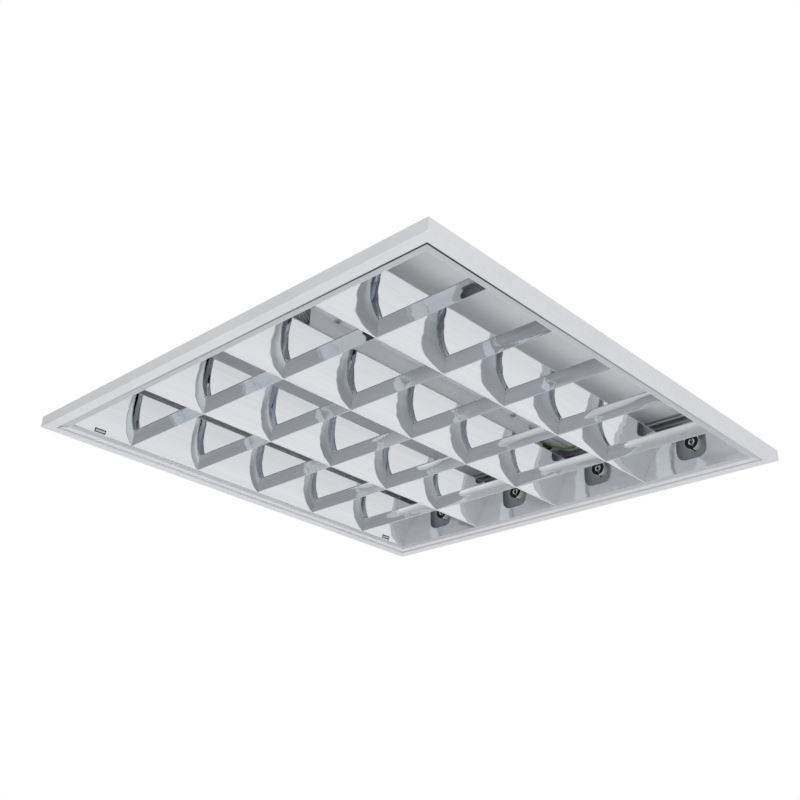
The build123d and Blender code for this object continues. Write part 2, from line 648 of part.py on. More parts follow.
def make_lamp_wires():
    """Two leads from the ballast's +Y end to each lampholder, side by side along the end."""
    leads = []
    poles = terminal_places()
    lane_end = HOLDER_BACK - LEAD_PITCH / 2 - FIT
    lane_start = TERMINAL_HALF + 4 * LEAD / 2 + 1
    for index, pole in enumerate(poles):
        target = LAMP_X[STRIPS // 2 + index // 2]
        drop = target + LEAD_SPREAD * (1 if index % 2 else -1)
        lane_x = lane_start + index * (LEAD_PITCH + 3 * FIT)
        lane_y = lane_end - index * LEAD_PITCH
        route = [
            (pole, BALLAST_END - WIRE_GRIP, LAMP_POLE_Z),
            (pole, BALLAST_END + WIRE_STUB, LAMP_POLE_Z),
            (lane_x, BALLAST_END + LEAD_RISE, LEAD_LEVEL),
            (lane_x, lane_y, LEAD_LEVEL),
            (drop, lane_y, LEAD_LEVEL),
            (drop, lane_y, NECK_TOP + FIT),
        ]
        lead = wire(route, LEAD)
        leads += [lead, mirrored(lead, Plane.YZ)]
    return leads


# ---------------------------------------------------------------- louvre

def louvre_rail(leg_half, gap=FIT):
    """Flange rail of the louvre's +X side, mitred, with an upright inner leg. The gap is at its +Y end."""
    outline = []
    for side, opening, reaches in ((-1, FIT, (FLANGE_IN, FLANGE_OUT)), (1, gap, (FLANGE_OUT, FLANGE_IN))):
        shy = opening / math.sqrt(2)
        outline += [(reach, side * (reach - shy)) for reach in reaches]
    flange = plate(outline, FLANGE_BASE, FLANGE_TOP)
    leg = slab(FLANGE_IN, FLANGE_IN + FLANGE_SHEET, -leg_half, leg_half, FLANGE_TOP, UPSTAND)
    return flange + leg


def knuckle(y):
    """Rolled knuckle on the right-hand rail, around the hinge pin."""
    ends = ((HINGE_X, y - KNUCKLE_HALF, HINGE_Z), (HINGE_X, y + KNUCKLE_HALF, HINGE_Z))
    low = HINGE_Z - KNUCKLE_FOOT
    foot = slab(HINGE_X - KNUCKLE_FOOT, HINGE_X + KNUCKLE_FOOT, ends[0][1], ends[1][1], FLANGE_BASE, low)
    return rod(KNUCKLE_RADIUS, *ends) + foot


def latch_slots(shape, play=SLOT_PLAY):
    """Cut both latch slots through the louvre's left side."""
    low = LATCH_HEIGHT - play
    high = LATCH_HEIGHT + LATCH_SHEET + play
    for sy in (-1, 1):
        y = sy * LATCH_Y
        half = SLOT_LENGTH / 2
        shape -= slab(-FLANGE_OUT, -APERTURE + 8, y - half, y + half, low, high)
    return shape


def make_side_rails():
    """Left rail with latch slots, right rail with hinge knuckles."""
    right = louvre_rail(APERTURE + MIRROR)
    left = latch_slots(louvre_rail(APERTURE + MIRROR, MITRE_GAP).rotate(Axis.Z, 180))
    for sy in (-1, 1):
        y = sy * HINGE_Y
        right += knuckle(y)
    for sy in (-1, 1):
        start = (HINGE_X, sy * HINGE_Y - KNUCKLE_HALF - 1, HINGE_Z)
        end = (HINGE_X, sy * HINGE_Y + KNUCKLE_HALF + 1, HINGE_Z)
        right -= rod(PIN_RADIUS + PIN_PLAY, start, end)
    return left, right


def make_side_reflector():
    """Outer half reflector of the right side."""
    foot_in, arc_in = side_edges(0)
    foot_out, arc_out = side_edges(MIRROR)
    base = Line(foot_in @ 0, foot_out @ 0)
    rim = Line(arc_in @ 1, arc_out @ 1)
    outline = make_face(Wire([foot_in, arc_in, rim, arc_out, foot_out, base]))
    return run_out(outline, Plane.XZ, 2 * REFLECTOR_END)


def make_end_plate():
    """Mirrored plate across the louvre's +Y end, with a U-shaped cut-out for each lamp."""
    foot, arc = side_edges(MIRROR)
    half = [foot, arc]
    other = [edge.mirror(Plane.YZ) for edge in half]
    base = Line(foot @ 0, other[0] @ 0)
    rim = Line(arc @ 1, other[1] @ 1)
    outline = make_face(Wire(half + other + [base, rim]))
    end = extrude(Plane.XZ * outline, amount=MIRROR, dir=(0, 1, 0))
    end = Pos(0, APERTURE, 0) * end
    rise = LOUVRE_TOP + CUTOUT_CORNER - CUTOUT_BASE
    for x in LAMP_X:
        window = RectangleRounded(CUTOUT_WIDTH, rise + CUTOUT_CORNER, CUTOUT_CORNER)
        centre = CUTOUT_BASE + (rise + CUTOUT_CORNER) / 2
        cutter = extrude(Plane((x, APERTURE - 1, centre), x_dir=(1, 0, 0), z_dir=(0, -1, 0)) * window,
                         amount=-2 * MIRROR - 2)
        end -= cutter
    return end


def make_v_reflector(x):
    """Long V between two lamp strips."""
    outline = v_outline(REFLECTOR_WIDTH, REFLECTOR_HEIGHT, MIRROR)
    return Pos(x, 0, 0) * run_out(outline, Plane.XZ, 2 * REFLECTOR_END)


def make_blades(y):
    """A row of cross blades: one V cut away where the long reflectors stand."""
    outline = v_outline(BLADE_WIDTH, BLADE_HEIGHT, BLADE_SHEET)
    row = Pos(0, y, 0) * run_out(outline, Plane.YZ, 2 * APERTURE)
    envelope = run_out(v_envelope(BLADE_END_GAP), Plane.XZ, 4 * BLADE_TOP)
    for x in REFLECTOR_X:
        row -= Pos(x, y, 0) * envelope
    foot, arc = side_edges(-BLADE_END_GAP)
    far = APERTURE + 1
    top = arc @ 1
    bottom = foot @ 0
    closing = Polyline((top.X, top.Y), (far, top.Y), (far, bottom.Y), (bottom.X, bottom.Y))
    beyond = run_out(make_face(Wire([foot, arc] + list(closing.edges()))), Plane.XZ, 4 * BLADE_TOP)
    beyond = Pos(0, y, 0) * beyond
    return row - beyond - mirrored(beyond, Plane.YZ)


# ---------------------------------------------------------------- latches and hinge

TONGUE_TIP = APERTURE - REFLECTOR_WIDTH(LATCH_MID - REFLECTOR_BASE) - LATCH_TONGUE


def make_latch(y):
    """Sliding latch of the left side: nose in the wall's slot, collar, tab for the spring, tongue."""
    high = LATCH_HEIGHT + LATCH_SHEET
    half = LATCH_WIDTH / 2
    latch = slab(-LATCH_NOSE, -TONGUE_TIP, y - half, y + half, LATCH_HEIGHT, high)
    for reach, top in ((half + COLLAR_EAR, high), (half - TAB_INSET, high + LATCH_TAB)):
        latch += slab(-COLLAR_OUT, -COLLAR_IN, y - reach, y + reach, LATCH_HEIGHT, top)
    return latch


def make_latch_guide(y):
    """Angle on the left rail's flange with the window that the latch slides in."""
    out = GUIDE_IN + GUIDE_SHEET
    half = LATCH_WIDTH / 2 + GUIDE_EAR
    guide = slab(-out, -GUIDE_IN, y - half, y + half, FLANGE_TOP, UPSTAND)
    guide += slab(-out, -FLANGE_IN - GUIDE_SETBACK, y - half, y + half, FLANGE_TOP, FLANGE_TOP + GUIDE_SHEET)
    window = LATCH_WIDTH / 2 + FIT
    low = LATCH_HEIGHT - FIT
    high = LATCH_HEIGHT + LATCH_SHEET + FIT
    return guide - slab(-out - 1, -GUIDE_IN + 1, y - window, y + window, low, high)


def make_latch_spring(y):
    """Bow spring between the rail's inner leg and the latch's tab."""
    seat = FLANGE_IN + FLANGE_SHEET
    crown = COLLAR_IN - FIT
    half = LATCH_WIDTH / 2 - SPRING_INSET
    low = LATCH_HEIGHT + LATCH_SHEET + SPRING_RISE
    outer = ThreePointArc((-seat - SPRING_SHEET, y - half), (-crown, y), (-seat - SPRING_SHEET, y + half))
    inner = ThreePointArc((-seat, y - half), (-crown + SPRING_SHEET, y), (-seat, y + half))
    ends = [Line(outer @ 0, inner @ 0), Line(outer @ 1, inner @ 1)]
    bow = make_face(Wire([outer, inner] + ends))
    return Pos(0, 0, low) * extrude(bow, amount=LATCH_TAB - 2 * SPRING_RISE, dir=(0, 0, 1))


def make_hinge_bracket(y):
    """Bracket on the right wall: wall plate, level leg, two ears and the hinge pin."""
    half = KNUCKLE_HALF + KNUCKLE_PLAY + EAR_WIDTH
    ear = EAR_SHEET / 2
    bracket = slab(WALL_IN - BRACKET_SHEET, WALL_IN, y - half, y + half, BRACKET_LEG, BRACKET_TOP)
    bracket += slab(HINGE_X - ear, WALL_IN, y - half, y + half, BRACKET_LEG, BRACKET_LEG + BRACKET_SHEET)
    for side in (-1, 1):
        inner = y + side * (half - EAR_WIDTH)
        outer = y + side * half
        bracket += slab(HINGE_X - ear, HINGE_X + ear, inner, outer, HINGE_Z, BRACKET_LEG + BRACKET_SHEET)
    return bracket + rod(PIN_RADIUS, (HINGE_X, y - half, HINGE_Z), (HINGE_X, y + half, HINGE_Z))


# ---------------------------------------------------------------- write every node

ENDS = (("front", True), ("back", False))

write("housing_tray", make_housing_tray())
for end_name, front in ENDS:
    write(f"housing_end_{end_name}", at_end(make_housing_end(), front))
    write(f"lampholder_rail_{end_name}", at_end(make_holder_rail(), front))
    write(f"lamp_wires_{end_name}", [at_end(lead, front) for lead in make_lamp_wires()])
    write(f"louvre_end_plate_{end_name}", at_end(make_end_plate(), front))
    for number, x in enumerate(LAMP_X, 1):
        write(f"lampholder_{end_name}_{number}", at_end(make_holder(x), front))
        write(f"lampholder_rotor_{end_name}_{number}", at_end(make_rotor(x), front))

write("ballast_base", make_ballast_base())
write("ballast_cover", make_ballast_cover())
write("ballast_board", make_ballast_board())
write("ballast_terminals", [at_end(make_ballast_terminals(), front) for _, front in ENDS])
write("gear_cover", make_gear_cover())
write("gear_cover_screws", [make_screw(x, y, CEILING - STEEL) for x, y in screw_places()])
write("terminal_block", make_terminal_block())
for pole, x in zip(("line", "neutral", "earth"), POLE_X):
    write(f"terminal_button_{pole}", make_button(x))
write("cable_grommet", make_grommet())
write("earth_screw", make_screw(EARTH_X, EARTH_Y, CEILING - LUG_SHEET))
write("earth_lug", make_earth_lug())
write("earth_wire", make_earth_wire())
write("mains_wires", make_mains_wires())
write("hinge_brackets", [make_hinge_bracket(side * HINGE_Y) for side in (-1, 1)])

rail_left, rail_right = make_side_rails()
write("louvre_rail_left", rail_left)
write("louvre_rail_right", rail_right)
leg_end = FLANGE_IN + FLANGE_SHEET
write("louvre_rail_back", louvre_rail(leg_end).rotate(Axis.Z, 90))
write("louvre_rail_front", mirrored(louvre_rail(leg_end, MITRE_GAP).rotate(Axis.Z, 90), Plane.XZ))
side = make_side_reflector()
write("side_reflector_right", side)
write("side_reflector_left", latch_slots(mirrored(side, Plane.YZ), SIGHT_PLAY))
for name, x in zip(("left", "middle", "right"), REFLECTOR_X):
    write(f"v_reflector_{name}", make_v_reflector(x))
for number, y in enumerate(BLADE_Y, 1):
    write(f"cross_blades_{number}", make_blades(y))
for name, y in (("front", -LATCH_Y), ("back", LATCH_Y)):
    write(f"latch_{name}", make_latch(y))
    write(f"latch_spring_{name}", make_latch_spring(y))
write("latch_guides", [make_latch_guide(y) for y in (-LATCH_Y, LATCH_Y)])
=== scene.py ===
import math

import bpy
from mathutils import Matrix, Vector


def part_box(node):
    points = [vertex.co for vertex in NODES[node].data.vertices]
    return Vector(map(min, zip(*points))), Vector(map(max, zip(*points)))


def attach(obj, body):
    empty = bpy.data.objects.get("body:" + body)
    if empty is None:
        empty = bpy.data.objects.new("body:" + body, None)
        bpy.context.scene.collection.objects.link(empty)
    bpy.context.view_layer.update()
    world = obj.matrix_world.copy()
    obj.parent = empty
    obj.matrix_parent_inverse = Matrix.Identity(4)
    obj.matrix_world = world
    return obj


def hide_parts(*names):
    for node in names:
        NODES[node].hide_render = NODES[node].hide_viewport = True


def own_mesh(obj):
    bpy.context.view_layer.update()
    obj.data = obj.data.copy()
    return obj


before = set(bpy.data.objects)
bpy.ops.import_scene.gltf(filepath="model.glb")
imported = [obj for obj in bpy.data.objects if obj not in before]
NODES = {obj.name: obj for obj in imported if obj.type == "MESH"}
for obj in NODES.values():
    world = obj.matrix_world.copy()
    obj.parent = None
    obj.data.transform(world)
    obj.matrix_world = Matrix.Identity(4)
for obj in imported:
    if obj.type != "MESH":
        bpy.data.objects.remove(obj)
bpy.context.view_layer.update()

# ---------------------------------------------------------------- sizes, in metres, read from the frame

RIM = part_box("housing_tray")[1].x       # outer edge of the rim
RIM_TOP = 0.013                         # outer lip of the rim
RIM_REACH = 0.0115                      # from the housing's walls out to the rim's edge
STEEL = 0.0008
WALL_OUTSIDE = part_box("housing_end_back")[1].y - RIM_REACH
WALL_INSIDE = WALL_OUTSIDE - STEEL
TRAY_SHEET_TOP = 0.085
BLADE_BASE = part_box("cross_blades_1")[0].z
BLADE_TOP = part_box("cross_blades_1")[1].z
LOUVRE_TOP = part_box("v_reflector_middle")[1].z
BLADE_ROWS = range(1, 6)
LAMPS = range(1, 5)
ENDS = ("front", "back")


# ---------------------------------------------------------------- shader maths

class Value:
    """A node's output that can be used in arithmetic: an expression adds its Math nodes."""

    def __init__(self, finish, socket):
        self.finish = finish
        self.socket = socket

    def __add__(self, other):
        return self.finish.maths("ADD", self, other)

    def __radd__(self, other):
        return self.finish.maths("ADD", other, self)

    def __sub__(self, other):
        return self.finish.maths("SUBTRACT", self, other)

    def __rsub__(self, other):
        return self.finish.maths("SUBTRACT", other, self)

    def __mul__(self, other):
        return self.finish.maths("MULTIPLY", self, other)

    def __rmul__(self, other):
        return self.finish.maths("MULTIPLY", other, self)

    def __gt__(self, other):
        return self.finish.maths("GREATER_THAN", self, other)

    def __lt__(self, other):
        return self.finish.maths("LESS_THAN", self, other)


class Nodes:
    """A node tree whose nodes are added one by one."""

    family = "ShaderNode"

    def add(self, kind, output=0, settings=None, **inputs):
        """One node: its settings first, then its sockets' values or links. Returns the named output."""
        node = self.tree.nodes.new(kind if "Node" in kind else self.family + kind)
        for key, setting in (settings or {}).items():
            if key == "stops":
                self.set_stops(node.color_ramp, setting)
            else:
                setattr(node, key, setting)
        for key, value in inputs.items():
            name = int(key[1:]) if key[0] == "_" else key.replace("_", " ")
            if isinstance(value, Value):
                self.tree.links.new(value.socket, node.inputs[name])
            else:
                node.inputs[name].default_value = value
        return Value(self, node.outputs[output]) if node.outputs else node

    @staticmethod
    def set_stops(ramp, stops):
        """Places a ramp's stops: (position, grey or colour) each."""
        while len(ramp.elements) < len(stops):
            ramp.elements.new(0.5)
        for element, (position, shade) in zip(ramp.elements, stops):
            element.position = position
            element.color = colour(shade)

    def maths(self, operation, first, second):
        return self.add("ShaderNodeMath", settings={"operation": operation}, _0=first, _1=second)


class Finish(Nodes):
    """A material or the world."""

    def __init__(self, owner):
        owner.use_nodes = True
        self.owner = owner
        self.tree = owner.node_tree
        self.tree.nodes.clear()

    def blend(self, factor, first, second):
        """Colour mix of two colours by a factor."""
        settings = {"data_type": "RGBA"}
        return self.add("Mix", output=2, settings=settings, _0=factor, _6=first, _7=second)

    def place(self, scale=(1, 1, 1), turn=(0, 0, 0)):
        """Object coordinates, stretched and turned."""
        at = self.add("TexCoord", output="Object")
        return self.add("Mapping", Vector=at, Scale=scale, Rotation=turn)

    def axis(self, name):
        """One object coordinate, in metres."""
        return self.add("SeparateXYZ", output=name, Vector=self.add("TexCoord", output="Object"))

    def rim_distance(self):
        """Distance from the light's middle, the larger of X and Y."""
        return self.maths("MAXIMUM", self.absolute(self.axis("X")), self.absolute(self.axis("Y")))

    def absolute(self, value):
        return self.add("Math", settings={"operation": "ABSOLUTE"}, _0=value)

    def noise(self, scale=(1, 1, 1), size=1.0, detail=3.0, roughness=0.5, turn=(0, 0, 0)):
        """Noise from 0 to 1 at so many waves a metre."""
        at = self.place(scale, turn)
        return self.add("TexNoise", Vector=at, Scale=size, Detail=detail, Roughness=roughness)

    def ramp(self, factor, *stops):
        return self.add("ValToRGB", settings={"stops": stops}, Fac=factor)

    def bump(self, height, distance, strength=1.0, over=None):
        """Normal from a height pattern; distance is the height of one unit, in metres."""
        extra = {"Normal": over} if over is not None else {}
        return self.add("Bump", Height=height, Distance=distance, Strength=strength, **extra)

    def surface(self, **inputs):
        """Principled surface as the material's output."""
        shader = self.add("BsdfPrincipled", **inputs)
        self.add("OutputMaterial", Surface=shader)
        return self.owner


def colour(shade):
    """A grey or an RGB triple as RGBA."""
    if isinstance(shade, (int, float)):
        return (shade, shade, shade, 1.0)
    return (*shade, 1.0)


def new_finish(name):
    return Finish(bpy.data.materials.new(name))


# ---------------------------------------------------------------- materials

FOOT_TOP = BLADE_BASE - 0.0002      # under it the reflectors' straight foot is satin
FOOT_METAL = (0.84, 0.85, 0.87)
CREASE_RADIUS = 0.0006
SHADOW_LINE = 0.2816                # outer stretch of the rails, painted dark as the shade of the gap beside it
LATCH_AT = 0.237                    # latches, from the light's middle
# painted shade around the latch slots: its reach along the rail and the height it starts from
SLOT_REACH = 0.0085
SLOT_FLOOR = 0.004
SHADOW_FALL = ((0.02, 0.0), (0.35, 0.55), (0.50, 1.0))   # that dark grows towards the far left corner
WHITE_COAT = (0.775, 0.785, 0.81)
# painted shade for the end panels' inner face
INSIDE_PAINTED_SHADE = (0.40, 0.42, 0.46)
MIRROR_METAL = (0.84, 0.86, 0.89)
# lit and shaded copies of one satin: the far rails are painted lighter and less metallic than the near ones,
# as painted light
NEAR_RAIL_SHADED_METAL = (0.71, 0.72, 0.745)
FAR_RAIL_LIT_METAL = (0.86, 0.87, 0.89)
GAP_SHADE = (0.04, 0.042, 0.045)
HOLDER_WHITE = (0.80, 0.80, 0.785)
HOLDER_PAINTED_SHADE = (0.36, 0.37, 0.38)


def powder_coat(name, shade=WHITE_COAT, inside=None):
    """White powder coat on steel: orange peel, faint blotches, a little dust. The end panels' inner face is
    painted greyer as painted shade, to match how dark it looks in the photo."""
    f = new_finish(name)
    blotch = f.noise(size=9.0, detail=4.0)
    fine = f.noise(size=900.0, detail=2.0)
    peel = f.noise(size=520.0, detail=1.0)
    darker = tuple(0.93 * c for c in shade)
    tone = f.blend(f.ramp(blotch, (0.35, 0.0), (0.75, 1.0)), colour(shade), colour(darker))
    if inside is not None:
        # painted shade: the end panels' inner face above the foot is greyer
        hidden = (f.absolute(f.axis("Y")) < WALL_INSIDE + 0.0001) * (f.axis("Z") > FOOT_TOP)
        tone = f.blend(hidden, tone, colour(inside))
    rough = 0.36 + 0.12 * fine + 0.06 * blotch
    return f.surface(Base_Color=tone, Roughness=rough, Normal=f.bump(peel, 0.00003, 0.2),
                     Specular_IOR_Level=0.45)


def mirror_sheet(name, along, waviness, shine=1.0):
    """Bright rolled aluminium: fine streaks along the sheet, soft waves that bend reflections. Creases
    are slightly round, and the straight foot under the mirrored curve is satin."""
    f = new_finish(name)
    fine = {"X": (5, 900, 900), "Y": (900, 5, 900)}[along]
    broad = {"X": (2, 140, 140), "Y": (140, 2, 140)}[along]
    wave = {"X": (16, 60, 60), "Y": (60, 16, 60)}[along]
    streak = f.noise(fine, detail=3.0, roughness=0.6)
    band = f.noise(broad, detail=2.0)
    haze = f.noise(size=14.0, detail=3.0)
    swell = f.noise(wave, detail=1.0)
    paler = tuple(min(1.0, 1.06 * c) for c in MIRROR_METAL)
    mask = 0.55 * streak + 0.45 * band
    bright = f.blend(f.ramp(mask, (0.38, 0.0), (0.62, 1.0)), colour(MIRROR_METAL), colour(paler))
    foot = f.axis("Z") < FOOT_TOP
    tone = f.blend(foot, bright, colour(FOOT_METAL))
    rough = 0.015 + 0.03 * streak + 0.04 * f.ramp(haze, (0.5, 0.0), (0.8, 1.0)) + 0.4 * foot
    crease = f.add("Bevel", settings={"samples": 4}, Radius=CREASE_RADIUS)
    waves = f.bump(swell, waviness, 1.0, over=crease)
    return f.surface(Base_Color=tone, Metallic=shine * (1.0 - 0.8 * foot), Roughness=rough,
                     Normal=f.bump(streak, 0.000004, 0.5, over=waves))


def satin_sheet(name, along, shade, metal=0.5, paint_shade=True):
    """Satin anodised aluminium, brushed along the rail. With paint_shade on, it gets painted shade: dark
    beside the rim and behind the latch slots."""
    f = new_finish(name)
    fine = {"X": (12, 1600, 1600), "Y": (1600, 12, 1600)}[along]
    brush = f.noise(fine, detail=3.0, roughness=0.65)
    wear = f.noise(size=30.0, detail=4.0)
    paler = tuple(min(1.0, 1.1 * c) for c in shade)
    brushed = f.blend(f.ramp(brush, (0.3, 0.0), (0.7, 1.0)), colour(shade), colour(paler))
    # painted shade: dark beside the rim's outer stretch and behind the latch slots on the left rail
    near = f.ramp(f.axis("X") - f.axis("Y"), *SHADOW_FALL) * (f.rim_distance() > SHADOW_LINE)
    beside = f.absolute(f.absolute(f.axis("Y")) - LATCH_AT) < SLOT_REACH
    behind = beside * (f.axis("Z") > SLOT_FLOOR) * (f.axis("X") < 0.0)
    share = f.maths("MAXIMUM", near, behind) * (1.0 if paint_shade else 0.0)
    tone = f.blend(share, brushed, colour(GAP_SHADE))
    rough = 0.30 + 0.16 * brush + 0.05 * wear
    return f.surface(Base_Color=tone, Metallic=metal, Roughness=rough, Normal=f.bump(brush, 0.000003, 0.5))


def zinc_plate(name, shade=(0.56, 0.565, 0.56)):
    """Zinc plated steel with a faint spangle."""
    f = new_finish(name)
    spangle = f.add("TexVoronoi", output="Color", Vector=f.place(), Scale=170.0)
    grey = f.add("RGBToBW", Color=spangle)
    cloud = f.noise(size=60.0, detail=4.0)
    paler = tuple(1.2 * c for c in shade)
    tone = f.blend(0.55 * grey + 0.3 * cloud, colour(shade), colour(paler))
    return f.surface(Base_Color=tone, Metallic=1.0, Roughness=0.26 + 0.18 * grey + 0.08 * cloud,
                     Normal=f.bump(cloud, 0.00004, 0.5))


def moulded_plastic(name, shade, rough=0.4, speckle=0.05):
    """Moulded plastic with a fine eroded texture and slight flow marks."""
    f = new_finish(name)
    grain = f.noise(size=2600.0, detail=2.0)
    flow = f.noise((60, 60, 220), detail=3.0)
    darker = tuple((1 - 2 * speckle) * c for c in shade)
    tone = f.blend(f.ramp(flow, (0.3, 0.0), (0.75, 1.0)), colour(shade), colour(darker))
    return f.surface(Base_Color=tone, Roughness=rough - 0.06 + 0.12 * grain,
                     Normal=f.bump(grain, 0.00002, 0.6))


def holder_plastic(name):
    """White lampholder. Painted shade makes the ring in its recess black and darkens the socket in the
    rotor's middle and the slot below it. The body around the ring is painted greyer as painted shade, to
    match how dark it looks in the photo."""
    f = new_finish(name)
    grain = f.noise(size=2600.0, detail=2.0)
    y = f.absolute(f.axis("Y"))
    rise = f.axis("Z") - LAMP_Z
    across = f.add("Math", settings={"operation": "PINGPONG"}, _0=f.axis("X"), _1=LAMP_PITCH / 2)
    side = LAMP_PITCH / 2 - across
    reach = f.add("Math", settings={"operation": "SQRT"}, _0=side * side + rise * rise)
    face = y < HOLDER_FACE + RING_DEPTH
    outer, inner, socket = RING_RADII
    ring = (reach < outer) * (reach > inner) * face
    slot = (rise < 0.0) * (side < SLOT_HALF) * (reach > inner)
    # painted shade: the ring's recess, the socket and the slot are near black
    dark = f.maths("MAXIMUM", f.maths("MAXIMUM", ring, (reach < socket) * face), slot)
    # painted shade: the body beyond the white collar is greyer
    body = (reach > COLLAR_RADIUS) * (0.6 + 0.4 * grain)
    tone = f.blend(dark, f.blend(body, colour(HOLDER_WHITE), colour(HOLDER_PAINTED_SHADE)), colour(0.012))
    return f.surface(Base_Color=tone, Roughness=0.34 + 0.14 * grain, Normal=f.bump(grain, 0.00002, 0.5))


def rubber(name):
    """Black rubber with a dull bloom."""
    f = new_finish(name)
    grain = f.noise(size=1500.0, detail=3.0)
    bloom = f.noise(size=120.0, detail=4.0)
    tone = f.blend(bloom, colour(0.018), colour(0.045))
    return f.surface(Base_Color=tone, Roughness=0.62 + 0.2 * grain, Normal=f.bump(grain, 0.00005, 0.5))


def two_tone_lead(name, shade, stripe, share):
    """Wire insulation with a stripe along the side that faces up."""
    f = new_finish(name)
    facing = f.add("SeparateXYZ", output="Z", Vector=f.add("TexCoord", output="Normal"))
    print_mark = f.noise(size=700.0, detail=2.0)
    edge = f.ramp(facing + 0.1 * print_mark, (share - 0.03, 0.0), (share + 0.03, 1.0))
    tone = f.blend(edge, colour(shade), colour(stripe))
    return f.surface(Base_Color=tone, Roughness=0.34 + 0.1 * print_mark,
                     Normal=f.bump(print_mark, 0.00001, 0.5))


def circuit_lacquer(name):
    """Green lacquered board under dark components."""
    f = new_finish(name)
    tracks = f.add("TexBrick", output="Fac", Vector=f.place(), Scale=160.0)
    height = f.ramp((f.axis("Z") - BOARD_TOP) * 100.0, (0.01, 0.0), (0.02, 1.0))
    board = f.blend(tracks, colour((0.02, 0.11, 0.04)), colour((0.05, 0.24, 0.09)))
    tone = f.blend(height, board, colour((0.06, 0.055, 0.05)))
    return f.surface(Base_Color=tone, Roughness=0.3 + 0.2 * tracks, Normal=f.bump(tracks, 0.00003, 0.5))


LAMP_Z = 0.043
LAMP_PITCH = (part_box("lampholder_back_4")[1].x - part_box("lampholder_back_3")[1].x)
HOLDER_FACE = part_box("lampholder_back_1")[0].y
RING_RADII = (0.0092, 0.0041, 0.0026)   # painted shade: black ring of the recess, outside and inside, and dark socket
RING_DEPTH = 0.0035
COLLAR_RADIUS = 0.0098                  # white collar around the ring
SLOT_HALF = 0.00145
BOARD_TOP = 0.0666

COAT = powder_coat("white_powder_coat")
END_COAT_WITH_PAINTED_SHADE = powder_coat("end_powder_coat_painted_shade", inside=INSIDE_PAINTED_SHADE)
MIRROR_ALONG_X = mirror_sheet("mirror_sheet_cross", "X", 0.0005)
MIRROR_ALONG_Y = mirror_sheet("mirror_sheet_long", "Y", 0.00025)
MIRROR_END = mirror_sheet("mirror_sheet_end", "X", 0.0005, 0.62)
SATIN_X = satin_sheet("satin_rail_front", "X", NEAR_RAIL_SHADED_METAL)
SATIN_Y = satin_sheet("satin_rail_right", "Y", NEAR_RAIL_SHADED_METAL)
# the far rails take the lighter copy, as painted light
SATIN_FAR_X = satin_sheet("satin_rail_back", "X", FAR_RAIL_LIT_METAL, 0.35)
SATIN_FAR_Y = satin_sheet("satin_rail_left", "Y", FAR_RAIL_LIT_METAL, 0.35)
LATCH_METAL = satin_sheet("latch_steel", "X", (0.88, 0.885, 0.89), 0.3, paint_shade=False)
ZINC = zinc_plate("zinc_plate")
HOLDER = holder_plastic("holder_plastic")
NATURAL = moulded_plastic("natural_plastic", (0.74, 0.735, 0.70))
RUBBER = rubber("black_rubber")
EARTH = two_tone_lead("earth_insulation", (0.05, 0.16, 0.04), (0.42, 0.40, 0.07), 0.35)
MAINS = two_tone_lead("mains_insulation", (0.16, 0.07, 0.03), (0.20, 0.09, 0.04), 0.6)
WHITE_LEAD = two_tone_lead("white_insulation", (0.76, 0.76, 0.74), (0.70, 0.70, 0.69), 0.6)
BOARD = circuit_lacquer("circuit_lacquer")
TIN = zinc_plate("tinned_copper", (0.72, 0.70, 0.66))


def dress(names, material):
    """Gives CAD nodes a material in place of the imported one."""
    for name in names:
        mesh = NODES[name].data
        mesh.materials.clear()
        mesh.materials.append(material)


def both_ends(pattern):
    return [pattern.format(end) for end in ENDS]


dress(["housing_tray", "gear_cover"], COAT)
dress(both_ends("housing_end_{}"), END_COAT_WITH_PAINTED_SHADE)
dress([f"cross_blades_{i}" for i in BLADE_ROWS], MIRROR_ALONG_X)
dress(both_ends("louvre_end_plate_{}"), MIRROR_END)
dress(["v_reflector_left", "v_reflector_middle", "v_reflector_right"], MIRROR_ALONG_Y)
dress(["side_reflector_left", "side_reflector_right"], MIRROR_ALONG_Y)
dress(["louvre_rail_left"], SATIN_FAR_Y)
dress(["louvre_rail_right"], SATIN_Y)
dress(["louvre_rail_front"], SATIN_X)
dress(["louvre_rail_back"], SATIN_FAR_X)
dress(both_ends("latch_{}"), LATCH_METAL)
dress(["ballast_base", "ballast_cover", "gear_cover_screws", "earth_screw", "hinge_brackets"], ZINC)
dress(["latch_guides"] + both_ends("latch_spring_{}"), ZINC)
dress(both_ends("lampholder_rail_{}"), ZINC)
dress([f"lampholder_{end}_{i}" for end in ENDS for i in LAMPS], HOLDER)
dress([f"lampholder_rotor_{end}_{i}" for end in ENDS for i in LAMPS], HOLDER)
dress(["ballast_terminals", "terminal_block"], NATURAL)
dress(["ballast_board"], BOARD)
dress(["cable_grommet"], RUBBER)
dress(["earth_lug"], TIN)
dress(["earth_wire"], EARTH)
dress(["mains_wires"], MAINS)
dress(both_ends("lamp_wires_{}"), WHITE_LEAD)
BUTTONS = {"line": (0.03, 0.03, 0.03), "neutral": (0.04, 0.10, 0.36), "earth": (0.10, 0.34, 0.08)}
for pole, shade in BUTTONS.items():
    dress([f"terminal_button_{pole}"], moulded_plastic(f"button_plastic_{pole}", shade))


# ---------------------------------------------------------------- repeated details

